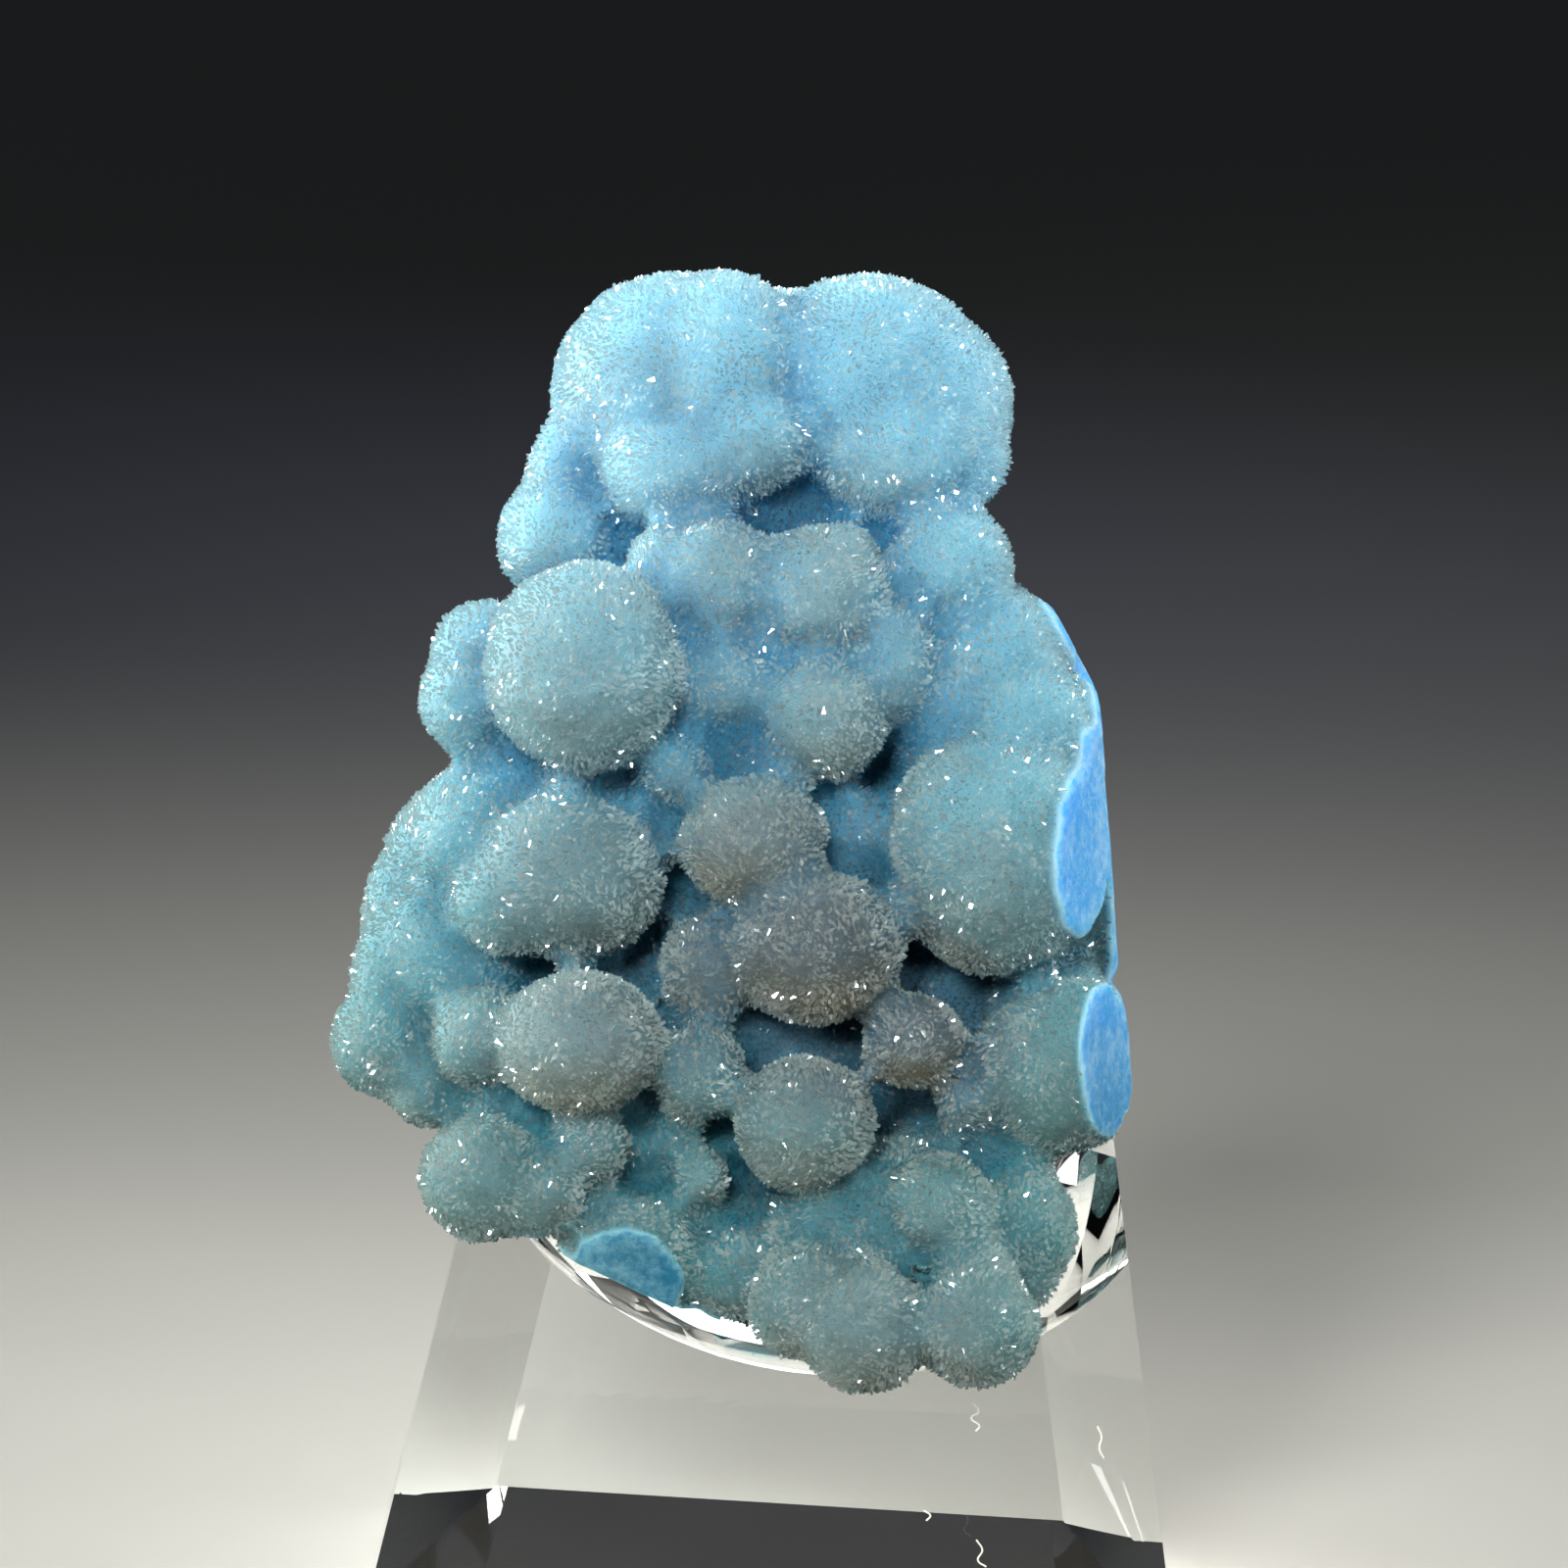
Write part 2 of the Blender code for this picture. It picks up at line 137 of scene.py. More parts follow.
def broken_share(places, facing):
    """1 on the broken faces and 0 on the crust, for points in the stone's own axes."""
    share = np.zeros(len(places))
    for _, point, way, reach, flatness in BREAKS:
        way = np.array(way) / np.linalg.norm(way)
        off = places - np.array(point)
        height = off @ way
        aside = np.linalg.norm(off - height[:, None] * way, axis=1)
        near = (np.abs(height) < flatness) & (aside < reach) & (facing @ way > 0.8 - 0.1 * flatness)
        share[near] = 1.0
    return share


stone_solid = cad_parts["hemimorphite"]
body = bpy.data.objects.new("stone_body", stone_solid.data.copy())
bpy.context.scene.collection.objects.link(body)
weld = body.modifiers.new("weld", "WELD")
weld.merge_threshold = 0.00001
skin = body.modifiers.new("even skin", "REMESH")
skin.mode = "VOXEL"
skin.voxel_size = BODY_GRID
evaluated(body)
body_edges = np.array([edge.vertices[:] for edge in body.data.edges])
body_facing = directions_of(body.data) @ np.array(STONE_LEAN)
body_broken = broken_share(own_places(points_of(body.data)), body_facing)
body_broken = np.clip(evened(body_broken, body_edges, 6) * 1.6 - 0.3, 0.0, 1.0)

# Every round draws the skin in and swells it out again, so that its bumps even out and its
# size stays. The broken faces are mostly spared, which keeps them flat and their rims crisp.
rounded = points_of(body.data)
draw_in = DRAWN_IN - DRAWN_IN_LESS_BROKEN * body_broken
swell = SWOLLEN_LESS_BROKEN * body_broken - SWOLLEN
for _ in range(BODY_ROUNDING):
    rounded = evened(rounded, body_edges, 1, draw_in)
    rounded = evened(rounded, body_edges, 1, swell)
place_points(body.data, rounded)
body_out = directions_of(body.data)

# The creases where two lobes meet are deep and narrow.
creases_evened = evened(rounded, body_edges, CREASE_ROUNDING)
sunk = np.minimum(((rounded - creases_evened) * body_out).sum(1), 0.0)
rounded = rounded + body_out * (CREASE_DEEPENING * sunk)[:, None]
place_points(body.data, rounded)
body_out = directions_of(body.data)

# How proud each place stands, in millimetres out from the evened stone: proud is 0 in the
# creases between lobes and 1 on the round of a lobe, and the deepest creases get a share of 1, by
# which they are darkened as painted shade.
lobes_evened = evened(rounded, body_edges, LOBE_ROUNDING)
stands_out = ((rounded - lobes_evened) * body_out).sum(1) / MM
stands_out = evened(stands_out, body_edges, 8)
body_proud = np.clip((stands_out - PROUD_FROM) / (PROUD_TO - PROUD_FROM), 0.0, 1.0)
body_deep = np.clip((stands_out - CREASE_SHADE_FROM) / (CREASE_SHADE_TO - CREASE_SHADE_FROM), 0.0, 1.0)
set_in = CRUST_DEPTH * (1.0 - body_broken)
place_points(body.data, rounded - body_out * set_in[:, None])

# The stone's colours by place, each as (across, up, reach, amount): where the crust is
# greyer than elsewhere, and where a hollow of the lower half is darkened with painted shade.
GREY_PLACES = (
    (-9.5, 44.0, 8.0, 0.35),
    (2.0, 48.0, 9.0, 0.50),
    (5.5, 40.0, 7.0, 0.50),
    (2.0, 31.0, 8.5, 0.90),
    (8.5, 23.0, 7.0, 0.85),
    (-9.0, 31.0, 6.5, 0.40),
    (-9.0, 21.0, 8.0, 0.70),
    (12.0, 29.0, 7.0, 0.35),
    (3.0, 15.0, 8.0, 0.50),
    (-9.0, 15.0, 6.0, 0.50),
    (8.0, 5.0, 9.0, 0.60),
    (-17.0, 15.0, 8.0, 0.40),
    (18.5, 17.0, 7.0, 0.25),
    (-7.5, 58.5, 7.0, 0.20),
)
SHADED_HOLLOWS = (
    (4.3, 25.8, 6.5, 1.0),
    (10.3, 21.7, 5.0, 0.9),
    (0.6, 31.6, 5.5, 0.4),
    (-1.7, 26.1, 4.5, 0.8),
    (12.9, 17.9, 3.0, 0.5),
    (-9.5, 31.0, 6.0, 0.3),
)


def share_of_places(places, listed):
    """How much of the listed places' character each point takes, fading out at their rims."""
    share = np.zeros(len(places))
    for across, up, reach, amount in listed:
        away = np.hypot(places[:, 0] - across, places[:, 2] - up) / reach
        share = np.maximum(share, amount * np.clip(1.6 - 1.1 * away, 0.0, 1.0))
    return share


def add_character(mesh, places, facing, proud, deep, broken):
    """Stores on a mesh what its colours depend on. places and facing are in own axes."""
    front = np.clip(0.5 - facing[:, 1], 0.0, 1.0)
    add_values(mesh, "proud", proud)
    # Painted shade: the deepest creases are darkened by this share.
    add_values(mesh, "deep", deep)
    add_values(mesh, "broken", broken)
    add_values(mesh, "grey", share_of_places(places, GREY_PLACES) * front)
    # Painted shade: the listed hollows of the lower half are darkened by this share.
    add_values(mesh, "hollow_shade", share_of_places(places, SHADED_HOLLOWS) * front)
    add_values(mesh, "under", np.clip(-facing[:, 2] * 1.3 - 0.1, 0.0, 1.0))
    add_values(mesh, "behind", np.clip(facing[:, 1] * 2.0 - 0.6, 0.0, 1.0))
    add_values(mesh, "height", np.clip(places[:, 2] / STONE_TALL, 0.0, 1.0))


body_places = own_places(rounded)
body_facing = body_out @ np.array(STONE_LEAN)
add_character(body.data, body_places, body_facing, body_proud, body_deep, body_broken)
body.data.shade_smooth()


def from_hex(code):
    """An sRGB hex colour as the linear values that shaders take."""
    channels = [int(code[k : k + 2], 16) / 255 for k in (1, 3, 5)]
    linear = [c / 12.92 if c <= 0.04045 else ((c + 0.055) / 1.055) ** 2.4 for c in channels]
    return (*linear, 1.0)


def add(tree, kind, values=None, **settings):
    """Adds a node with its settings; values are numbers or links for its inputs."""
    node = tree.nodes.new(kind)
    for name, value in settings.items():
        setattr(node, name, value)
    for socket, value in (values or {}).items():
        if isinstance(value, bpy.types.NodeSocket):
            tree.links.new(value, node.inputs[socket])
        else:
            node.inputs[socket].default_value = value
    return node


def new_material(name):
    """An empty material, with its node tree and its output node."""
    material = bpy.data.materials.new(name)
    material.use_nodes = True
    material.node_tree.nodes.clear()
    return material, material.node_tree, add(material.node_tree, "ShaderNodeOutputMaterial")


def mixed(tree, share, one, other):
    """The colour that lies share of the way from one to other."""
    return add(tree, "ShaderNodeMix", {0: share, 6: one, 7: other}, data_type="RGBA").outputs[2]


def worked(tree, operation, *values):
    """What a maths operation makes of its values."""
    return add(tree, "ShaderNodeMath", dict(enumerate(values)), operation=operation).outputs[0]


def ranged(tree, value, start, end, low=0.0, high=1.0, kind="LINEAR"):
    """value, stretched so that start becomes low and end becomes high."""
    return add(tree, "ShaderNodeMapRange", {
        "Value": value, "From Min": start, "From Max": end, "To Min": low, "To Max": high,
    }, interpolation_type=kind).outputs[0]


def mottle(tree, size, detail, roughness=0.5):
    """A noise fixed to the piece, whose broadest features are size across, in metres."""
    return add(tree, "ShaderNodeTexNoise", {
        "Vector": add(tree, "ShaderNodeTexCoord").outputs["Object"],
        "Scale": 1 / size, "Detail": detail, "Roughness": roughness,
    }).outputs["Fac"]


def stone_colours(tree):
    """The blue of the stone's body, and the paler and greyer colour of its crust, with painted
    shade in hollows and creases.
    """
    clouds = mottle(tree, 5.0 * MM, 3.0)
    flecks = mottle(tree, 0.9 * MM, 6.0, 0.75)
    values = {
        name: add(tree, "ShaderNodeAttribute", attribute_name=name).outputs["Fac"]
        for name in ("proud", "deep", "broken", "grey", "hollow_shade", "under", "behind", "height")
    }

    # Both are teal at the foot and a purer blue towards the top, and lighter towards the top as
    # painted light, where more light reaches.
    upper_hue_and_light = ranged(tree, values["height"], 0.25, 0.85)
    blue = mixed(tree, upper_hue_and_light, from_hex("#246A78"), from_hex("#3380AC"))
    crust = mixed(tree, upper_hue_and_light, from_hex("#447476"), from_hex("#78A8B8"))

    # Some lobes are greyer and brownish-grey on their underside, and some hollows and the deepest
    # creases are darkened as painted shade.
    greyed = worked(tree, "MULTIPLY_ADD", clouds, 0.5, values["grey"])
    crust = mixed(tree, ranged(tree, greyed, 0.3, 1.1), crust, from_hex("#66777A"))
    # Painted shade: the listed hollows go dark grey-blue.
    hollow_shade = worked(tree, "MULTIPLY", values["hollow_shade"], 0.9)
    crust = mixed(tree, hollow_shade, crust, from_hex("#434E54"))
    blue = mixed(tree, hollow_shade, blue, from_hex("#3B6076"))
    brownish_underside = worked(tree, "MULTIPLY", values["under"], values["grey"])
    crust = mixed(tree, brownish_underside, crust, from_hex("#67634F"))
    # Painted shade: the deepest creases go dark teal.
    blue = mixed(tree, values["deep"], blue, from_hex("#0B3F50"))
    crust = mixed(tree, values["deep"], crust, from_hex("#0B3F50"))

    # A fresh break is clear azure, milky in flecks, along its bruised rim and at the back.
    above = ranged(tree, values["height"], 0.15, 0.4)
    clear = mixed(tree, above, from_hex("#1D6884"), from_hex("#3FA4EA"))
    milky = mixed(tree, above, from_hex("#7FAEB6"), from_hex("#B4E0F4"))
    milky = mixed(tree, values["behind"], milky, from_hex("#A8BDBD"))
    unbroken = worked(tree, "SUBTRACT", 1.0, values["broken"])
    bruised = worked(tree, "MULTIPLY", values["broken"], unbroken)
    milk = worked(tree, "MULTIPLY_ADD", clouds, 0.5, flecks)
    milk = worked(tree, "MULTIPLY_ADD", values["behind"], 0.42, milk)
    milk = worked(tree, "MULTIPLY_ADD", bruised, 2.4, milk)
    fresh = mixed(tree, ranged(tree, milk, 0.66, 1.14), clear, milky)

    # The back is stained brown in patches by the earth of its vug.
    stain = ranged(tree, worked(tree, "ADD", flecks, clouds), 1.04, 1.28, 0.0, 0.55)
    stain = worked(tree, "MULTIPLY", stain, values["behind"])
    fresh = mixed(tree, stain, fresh, from_hex("#7A6A4C"))
    blue = mixed(tree, values["broken"], blue, fresh)
    return blue, crust, values


# Massive hemimorphite: slightly translucent, so that light spreads through it for some
# millimetres and comes back bluer, with a waxy lustre where it is freshly broken.
massive, tree, output = new_material("hemimorphite, massive and translucent")
blue, crust, values = stone_colours(tree)
covered = worked(tree, "SUBTRACT", 1.0, values["broken"])
covered = worked(tree, "MULTIPLY", covered, values["proud"])
grains = mottle(tree, 1.3 * MM, 5.0, 0.65)
bump = add(tree, "ShaderNodeBump", {"Height": grains, "Distance": 0.5 * MM, "Strength": 0.9})
shader = add(tree, "ShaderNodeBsdfPrincipled", {
    "Base Color": mixed(tree, covered, blue, crust),
    "Roughness": 0.5, "IOR": 1.62, "Normal": bump.outputs[0], "Specular IOR Level": 0.15,
    "Subsurface Weight": 1.0, "Subsurface Radius": (0.6, 1.2, 1.5), "Subsurface Scale": 2.4 * MM,
})
tree.links.new(shader.outputs[0], output.inputs["Surface"])
body.data.materials.clear()
body.data.materials.append(massive)
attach(body, "root")
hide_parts("hemimorphite")

# The crust: some seventy-six thousand clear hemimorphite blades, about a quarter of a
# millimetre wide, that stand close together all over the lobes. Each ends in a chisel edge,
# the end that shows. Neighbours lean and turn nearly alike, as crystals of one spray do.
CRYSTAL_SPACING = 0.22 * MM
CRYSTAL_SCATTER = 0.10 * MM
CRYSTAL_WIDTH = 0.13 * MM
CRYSTAL_THICKNESS = 0.06 * MM
CRYSTAL_ROOT = 0.12 * MM
CRYSTAL_RISE = 0.33 * MM
TIP_HEIGHTS = (0.55, 1.1)
RIDGE_ASIDE = 1.2
THICKNESSES = (0.6, 1.7)
SIZES = (0.75, 1.1)
LARGE_SHARE = 0.15
LARGE_SIZE = 1.3
SPRAY_SIZE = 2.6 * MM
SPRAY_LEAN_DEG = 42.0
SPRAY_LEAN_GAIN = 1.6
SCATTER_LEAN = 0.32
SCATTER_TURN = 0.22
SWIRL_SIZE = SPRAY_SIZE * 1.7
SWIRL_START = Vector((9, 4, 2))
BARE_FROM = 0.02
BARE_TO = 0.6
CRYSTALS_A_PIECE = 33000
CRYSTALS_IN_ALL = 132000
CRUST_SEED = 20

# Chance and the noise start from the same seed in every run, so the crust grows alike.
chance = np.random.default_rng(CRUST_SEED)
noise.seed_set(CRUST_SEED)


def chosen_seats(places, allowed, spacing):
    """Indices of points that lie at least spacing apart, picked in a shuffled order."""
    cells = {}
    picked = []
    order = chance.permutation(np.flatnonzero(allowed))
    keys = np.floor(places / spacing).astype(int)
    around = [(a, b, c) for a in (-1, 0, 1) for b in (-1, 0, 1) for c in (-1, 0, 1)]
    for index in order:
        x, y, z = keys[index]
        place = places[index]
        clear = True
        for a, b, c in around:
            for other in cells.get((x + a, y + b, z + c), ()):
                if ((places[other] - place) ** 2).sum() < spacing * spacing:
                    clear = False
                    break
            if not clear:
                break
        if clear:
            cells.setdefault((x, y, z), []).append(index)
            picked.append(index)
    return np.array(picked)


# One crystal of unit size: its points as (across, through, height) and its faces.
BLADE_POINTS = np.array(
    ((1, 1, 0), (-1, 1, 0), (-1, -1, 0), (1, -1, 0), (0.6, 0, 1), (-0.6, 0, 1)), dtype=float
)
BLADE_FACES = ((0, 1, 5, 4), (2, 3, 4, 5), (1, 2, 5), (3, 0, 4))


def unit(vectors):
    """vectors, one in each row, made 1 long."""
    return vectors / np.maximum(np.linalg.norm(vectors, axis=1, keepdims=True), 1e-9)


def crystal_mesh(name, seats, axes, flats, sizes):
    """One mesh of crystals: where they stand, their long axes, flat faces and sizes."""
    through = unit(np.cross(axes, flats))
    tip = BLADE_POINTS[:, 2] > 0
    count = len(seats)
    rise = np.full((count, len(BLADE_POINTS)), -CRYSTAL_ROOT)
    rise[:, tip] = (CRYSTAL_RISE * sizes)[:, None] * chance.uniform(*TIP_HEIGHTS, (count, 2))
    wide = BLADE_POINTS[:, 0][None, :, None] * (CRYSTAL_WIDTH * sizes)[:, None, None]
    ridges_aside = chance.uniform(-RIDGE_ASIDE, RIDGE_ASIDE, (count, 1))
    thick = (BLADE_POINTS[:, 1] + np.where(tip, 1.0, 0.0)[None, :] * ridges_aside)[:, :, None]
    thicknesses = CRYSTAL_THICKNESS * sizes * chance.uniform(*THICKNESSES, count)
    thick = thick * thicknesses[:, None, None]
    places = (
        seats[:, None, :]
        + wide * flats[:, None, :]
        + thick * through[:, None, :]
        + rise[:, :, None] * axes[:, None, :]
    )
    corners = [
        tuple(corner + start for corner in face)
        for start in range(0, count * len(BLADE_POINTS), len(BLADE_POINTS))
        for face in BLADE_FACES
    ]
    mesh = bpy.data.meshes.new(name)
    mesh.from_pydata(places.reshape(-1, 3), [], corners)
    return mesh


# A crystal may stand at any point of the body's skin, or in the middle of any of its faces,
# but fewer and fewer stand towards the edge of a broken face.
skin_places = points_of(body.data)
middles = np.array([face.center[:] for face in body.data.polygons])
middle_of = np.array([face.vertices[0] for face in body.data.polygons])
site_places = np.concatenate((skin_places, middles))
site_of = np.concatenate((np.arange(len(skin_places)), middle_of))
crusted = body_broken[site_of] < chance.uniform(BARE_FROM, BARE_TO, len(site_of))
sites = chosen_seats(site_places, crusted, CRYSTAL_SPACING)
sites = chance.permutation(sites)[:CRYSTALS_IN_ALL]
sites = sites[np.argsort(own_places(site_places[sites])[:, 2])]
seats_at = site_of[sites]
out = body_out[seats_at]
seats = site_places[sites]
aside = chance.uniform(-CRYSTAL_SCATTER, CRYSTAL_SCATTER, seats.shape)
seats = seats + aside - out * (aside * out).sum(1)[:, None]
drift = np.array([noise.noise_vector(Vector(seat / SPRAY_SIZE)) for seat in seats])
swirl = np.array(
    [noise.noise_vector(Vector(seat / SWIRL_SIZE) + SWIRL_START) for seat in seats]
)
lean = math.tan(math.radians(SPRAY_LEAN_DEG)) * SPRAY_LEAN_GAIN
axes = unit(out + lean * drift + SCATTER_LEAN * chance.normal(size=seats.shape))
flats = unit(np.cross(axes, unit(swirl + SCATTER_TURN * chance.normal(size=seats.shape))))
sizes = np.where(chance.random(len(seats)) < LARGE_SHARE, LARGE_SIZE, 1.0)
sizes = sizes * chance.uniform(*SIZES, len(seats))
tones = chance.uniform(0.0, 1.0, len(seats))

# Clear crystals over the blue body: nearly colourless, glassy, each catching the light on
# whichever of its flat faces happens to turn that way.
druse, tree, output = new_material("hemimorphite druse, clear and glassy")
blue, crust, values = stone_colours(tree)
tone = add(tree, "ShaderNodeAttribute", attribute_name="tone").outputs["Fac"]
lifted = worked(tree, "MULTIPLY_ADD", tone, 0.35, values["proud"])
lifted = ranged(tree, lifted, 0.15, 0.75, 0.35, 0.9, "SMOOTHSTEP")
whiteness = ranged(tree, lifted, 0.35, 0.9, 0.08, 0.30)
# Painted shade: the crystals are made less white on their undersides, so that these come out
# darker.
above = worked(tree, "MULTIPLY_ADD", values["under"], -0.75, 1.0)
whiteness = worked(tree, "MULTIPLY", whiteness, above)
shader = add(tree, "ShaderNodeBsdfPrincipled", {
    "Base Color": mixed(tree, whiteness, mixed(tree, lifted, blue, crust), from_hex("#E9F3EA")),
    "Roughness": 0.12, "IOR": 1.62, "Transmission Weight": 0.6,
    "Coat Weight": 1.0, "Coat Roughness": 0.04, "Coat IOR": 1.7,
})
tree.links.new(shader.outputs[0], output.inputs["Surface"])

crystal_groups = range(0, len(seats), CRYSTALS_A_PIECE)
for number, start in enumerate(crystal_groups, 1):
    some = slice(start, start + CRYSTALS_A_PIECE)
    name = f"crystal_crust_{number}"
    mesh = crystal_mesh(name, seats[some], axes[some], flats[some], sizes[some])
    at = np.repeat(seats_at[some], len(BLADE_POINTS))
    add_character(
        mesh, body_places[at], body_facing[at], body_proud[at], body_deep[at], body_broken[at]
    )
    add_values(mesh, "tone", np.repeat(tones[some], len(BLADE_POINTS)))
    mesh.materials.append(druse)
    crust = bpy.data.objects.new(name, mesh)
    bpy.context.scene.collection.objects.link(crust)
    crust.visible_shadow = False
    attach(crust, "root")
    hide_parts("hemimorphite")

# The stand: a block of cast acrylic, sawn to a taper, its corners chamfered, its front
# undercut at the foot, a ball-shaped seat milled in its top, and all of it polished clear,
# with narrow arrises.
STAND_WIDTH = 49.0 * MM
STAND_DEPTH = 32.0 * MM
STAND_HEIGHT = 26.8 * MM
SIDE_TAPER_DEG = 10.6
FACE_TAPER_DEG = 4.0
CORNER_CHAMFER = 5.9 * MM
UNDERCUT_HEIGHT = 9.2 * MM
UNDERCUT_DEPTH = 5.3 * MM
SEAT_CENTRE = Vector((6.5, -11.0, 28.7)) * MM
SEAT_RADIUS = 27.1 * MM
SEAT_SEGMENTS = 288
ARRIS = 0.14 * MM


def saw(block, point, facing):
    """Cuts off what lies beyond the plane through point, and closes the cut."""
    parts = list(block.verts) + list(block.edges) + list(block.faces)
    done = bmesh.ops.bisect_plane(
        block, geom=parts, plane_co=point, plane_no=facing, clear_outer=True
    )
    rim = [part for part in done["geom_cut"] if isinstance(part, bmesh.types.BMEdge)]
    bmesh.ops.contextual_create(block, geom=rim)


block = bmesh.new()
bmesh.ops.create_cube(block, size=1.0)
stock = Vector((STAND_WIDTH, STAND_DEPTH, STAND_HEIGHT))
for corner in block.verts:
    corner.co = Vector(a * b for a, b in zip(corner.co + Vector((0, 0, 0.5)), stock))
side_slope = math.radians(SIDE_TAPER_DEG)
face_slope = math.radians(FACE_TAPER_DEG)
for way in (-1, 1):
    saw(block, Vector((way * STAND_WIDTH / 2, 0, 0)),
        Vector((way * math.cos(side_slope), 0, math.sin(side_slope))))
    saw(block, Vector((0, way * STAND_DEPTH / 2, 0)),
        Vector((0, way * math.cos(face_slope), math.sin(face_slope))))
corner_lean = math.sin(side_slope) + math.sin(face_slope)
for side in (-1, 1):
    for face in (-1, 1):
        saw(block, Vector((side * (STAND_WIDTH / 2 - CORNER_CHAMFER), face * STAND_DEPTH / 2, 0)),
            Vector((side, face, corner_lean)).normalized())
saw(block, Vector((0, UNDERCUT_DEPTH - STAND_DEPTH / 2, 0)),
    Vector((0, -UNDERCUT_HEIGHT, -UNDERCUT_DEPTH)).normalized())
bmesh.ops.recalc_face_normals(block, faces=block.faces)
stand_mesh = bpy.data.meshes.new("stand_block")
block.to_mesh(stand_mesh)
block.free()
stand = bpy.data.objects.new("stand_block", stand_mesh)
bpy.context.scene.collection.objects.link(stand)

ball = bmesh.new()
bmesh.ops.create_uvsphere(
    ball, u_segments=SEAT_SEGMENTS, v_segments=SEAT_SEGMENTS // 2, radius=SEAT_RADIUS
)
bmesh.ops.translate(ball, verts=ball.verts, vec=STONE_FOOT + STONE_LEAN @ SEAT_CENTRE)
ball_mesh = bpy.data.meshes.new("seat_cutter")
ball.to_mesh(ball_mesh)
ball.free()
seat_cutter = bpy.data.objects.new("seat_cutter", ball_mesh)
bpy.context.scene.collection.objects.link(seat_cutter)
seat = stand.modifiers.new("seat", "BOOLEAN")
seat.operation = "DIFFERENCE"
seat.object = seat_cutter
arris = stand.modifiers.new("arris", "BEVEL")
arris.width = ARRIS
arris.segments = 2
arris.limit_method = "ANGLE"
arris.angle_limit = math.radians(20.0)
arris.harden_normals = False
evaluated(stand)
bpy.data.objects.remove(seat_cutter)
stand.data.shade_smooth()
stand.data.set_sharp_from_angle(angle=math.radians(12.0))

# Cast acrylic, polished: colourless, with next to no haze, and IOR 1.49.
acrylic, tree, output = new_material("cast acrylic, clear and polished")
shader = add(tree, "ShaderNodeBsdfPrincipled", {
    "Base Color": from_hex("#F6F8F7"), "Roughness": 0.0, "IOR": 1.49, "Transmission Weight": 1.0,
})
tree.links.new(shader.outputs[0], output.inputs["Surface"])
stand.data.materials.clear()
stand.data.materials.append(acrylic)
stand.visible_shadow = False
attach(stand, "root")
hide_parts("acrylic_stand")

# Lint: a few white fibres that cling to the stand's front, one on its right chamfer. Each
# is a fine round thread, given by its course in world millimetres.
FIBRE_RADIUS = 0.055 * MM
FIBRES = (
    ((11.2, -14.95, 15.0), (11.6, -14.98, 14.5), (11.2, -15.01, 14.1), (11.7, -15.05, 13.6),
     (11.5, -15.07, 13.3)),
    ((18.9, -12.36, 13.4), (19.2, -12.18, 12.7), (19.1, -12.49, 12.1), (19.4, -12.25, 11.4)),
    ((8.7, -15.46, 8.3), (9.1, -15.32, 8.0), (8.9, -15.06, 7.6)),
    ((12.0, -14.37, 6.4), (12.4, -13.97, 5.7), (12.2, -13.54, 4.9), (12.7, -13.27, 4.5)),
)
threads = bpy.data.curves.new("lint_threads", "CURVE")
threads.dimensions = "3D"
threads.bevel_depth = FIBRE_RADIUS
threads.bevel_resolution = 2
threads.use_fill_caps = True
for course in FIBRES:
    thread = threads.splines.new("BEZIER")
    thread.bezier_points.add(len(course) - 1)
    for knot, place in zip(thread.bezier_points, course):
        knot.co = Vector(place) * MM
        knot.handle_left_type = knot.handle_right_type = "AUTO"
threads_object = bpy.data.objects.new("lint_threads", threads)
bpy.context.scene.collection.objects.link(threads_object)
graph = bpy.context.evaluated_depsgraph_get()
lint = bpy.data.objects.new(
    "lint", bpy.data.meshes.new_from_object(threads_object.evaluated_get(graph))
)
bpy.data.objects.remove(threads_object)
bpy.context.scene.collection.objects.link(lint)

# Cotton lint: matt and off-white, the only thing on the stand that isn't clear.
cotton, tree, output = new_material("cotton lint, matt")
shader = add(tree, "ShaderNodeBsdfPrincipled", {
    "Base Color": from_hex("#EDE8DE"), "Roughness": 0.9, "Specular IOR Level": 0.2,
})
tree.links.new(shader.outputs[0], output.inputs["Surface"])
lint.data.materials.clear()
lint.data.materials.append(cotton)
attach(lint, "root")
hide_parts("acrylic_stand")

# The floor: a sheet of pale matt board that runs far behind the stand, into the dark.
FLOOR_REACH = 2.5
FLOOR_BELOW = 0.2 * MM
floor_mesh = bmesh.new()
bmesh.ops.create_grid(floor_mesh, x_segments=1, y_segments=1, size=FLOOR_REACH)
floor_data = bpy.data.meshes.new("floor")
floor_mesh.to_mesh(floor_data)
floor_mesh.free()
floor = bpy.data.objects.new("floor", floor_data)
floor.location.z = -FLOOR_BELOW
bpy.context.scene.collection.objects.link(floor)
board, tree, output = new_material("pale matt board")
shader = add(tree, "ShaderNodeBsdfPrincipled", {
    "Base Color": from_hex("#B8B7B0"), "Roughness": 0.8, "Specular IOR Level": 0.2,
})
tree.links.new(shader.outputs[0], output.inputs["Surface"])
floor.data.materials.append(board)

# The light: soft boxes close to the stone, so that the board behind falls into shade. Small
# ones give the crystals their glints, and the large, dim panels fill what they reflect.


def soft_box(name, place, aim, size, watts, spread_deg=180.0, colour="#FFFFFF"):
    """A rectangular lamp at place, in metres, that faces aim; a grid narrows its spread."""
    lamp = bpy.data.lights.new(name, "AREA")
    lamp.shape = "RECTANGLE"
    lamp.size, lamp.size_y = size
    lamp.energy = watts
    lamp.spread = math.radians(spread_deg)
    lamp.color = from_hex(colour)[:3]
    holder = bpy.data.objects.new(name, lamp)
    holder.location = place
    holder.rotation_euler = (Vector(aim) - Vector(place)).to_track_quat("-Z", "Y").to_euler()
    bpy.context.scene.collection.objects.link(holder)


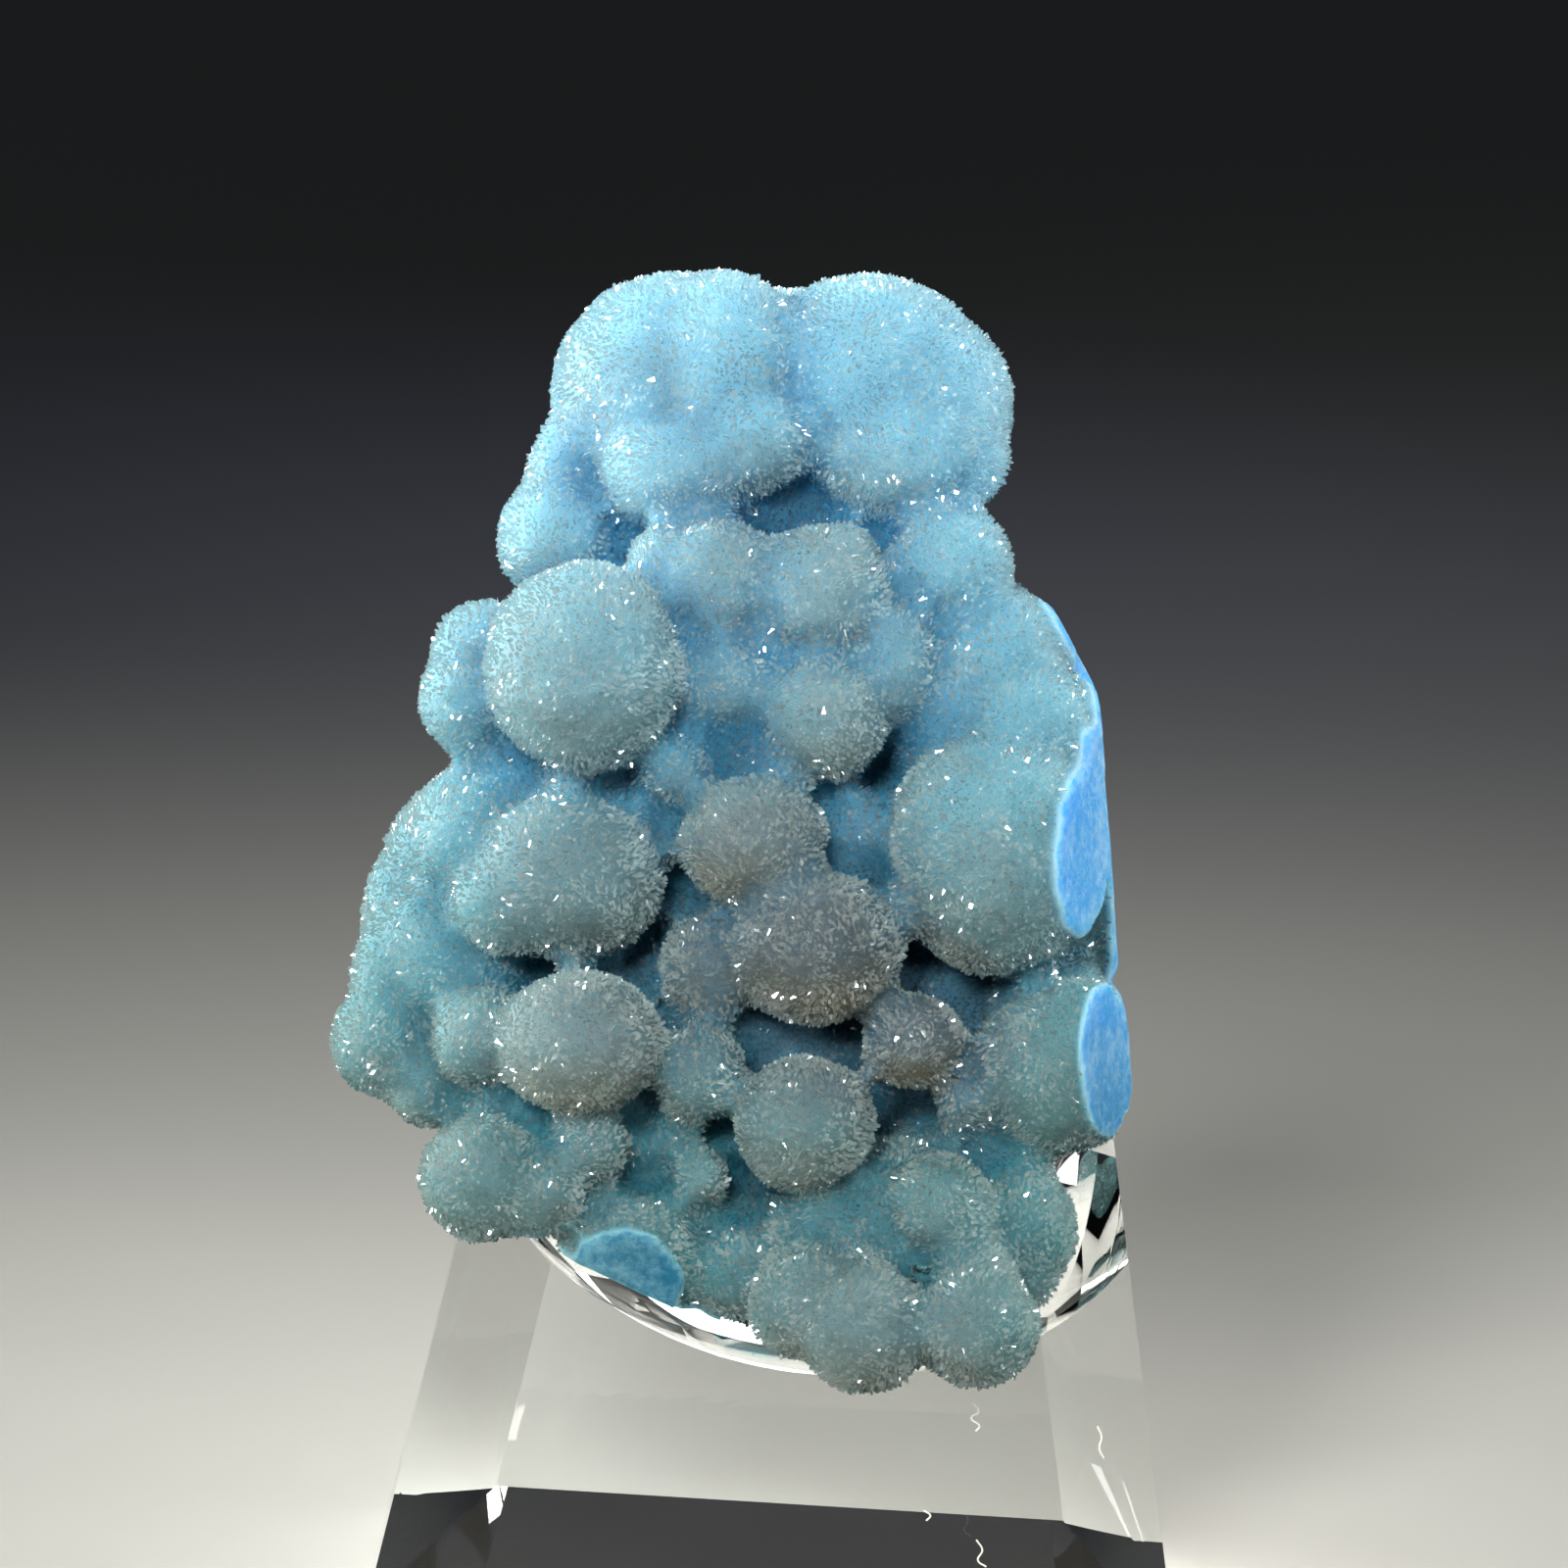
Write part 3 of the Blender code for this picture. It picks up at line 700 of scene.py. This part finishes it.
soft_box("top", (-0.10, 0.20, 0.56), (0, -0.03, 0.0), (0.24, 0.24), 0.20, 56.0)
soft_box("front", (-0.14, -0.44, 0.30), (0, 0, 0.05), (0.12, 0.12), 0.12, 32.0)
soft_box("left", (-0.36, -0.26, 0.22), (0, 0, 0.045), (0.06, 0.06), 0.032, 40.0)
soft_box("right", (0.26, -0.34, 0.12), (0, 0, 0.045), (0.06, 0.06), 0.022, 40.0)
soft_box("back_left", (-0.26, 0.11, 0.10), (0, 0, 0.07), (0.12, 0.12), 0.10, 26.0, "#FFF4EA")
soft_box("back_right", (0.24, 0.12, 0.14), (0, 0, 0.055), (0.12, 0.12), 0.06, 50.0)
soft_box("left_panel", (-0.34, -0.12, 0.16), (0, 0, 0.04), (0.36, 0.36), 0.055, 180.0, "#FFF4EA")
soft_box("right_panel", (0.36, -0.12, 0.16), (0, 0, 0.04), (0.36, 0.36), 0.035, 180.0, "#F4F8FF")
soft_box("far", (0.0, 0.75, 0.45), (0, 0.36, 0), (0.2, 0.2), 0.012, 40.0, "#A8BCFF")
world = bpy.data.worlds.new("studio")
world.use_nodes = True
world.node_tree.nodes["Background"].inputs["Color"].default_value = from_hex("#8A9098")
world.node_tree.nodes["Background"].inputs["Strength"].default_value = 0.08
bpy.context.scene.world = world
bpy.context.scene.view_settings.view_transform = "Standard"

# The camera: a long lens, square to the stone's face, as in a specimen photograph.
VIEW_DISTANCE = 0.56
VIEW_WIDTH = 96.0 * MM
VIEW_CENTRE = Vector((2.4, 0.0, 37.2)) * MM
camera_data = bpy.data.cameras.new("camera")
camera_data.sensor_width = 36.0
camera_data.lens = camera_data.sensor_width * VIEW_DISTANCE / VIEW_WIDTH
camera_data.clip_start = 0.01
camera = bpy.data.objects.new("camera", camera_data)
right, away, up = STONE_LEAN.col
turn = Matrix((right, up, -away)).transposed()
camera.matrix_world = Matrix.Translation(
    STONE_FOOT + STONE_LEAN @ VIEW_CENTRE - away * VIEW_DISTANCE
) @ turn.to_4x4()
bpy.context.scene.collection.objects.link(camera)
bpy.context.scene.camera = camera
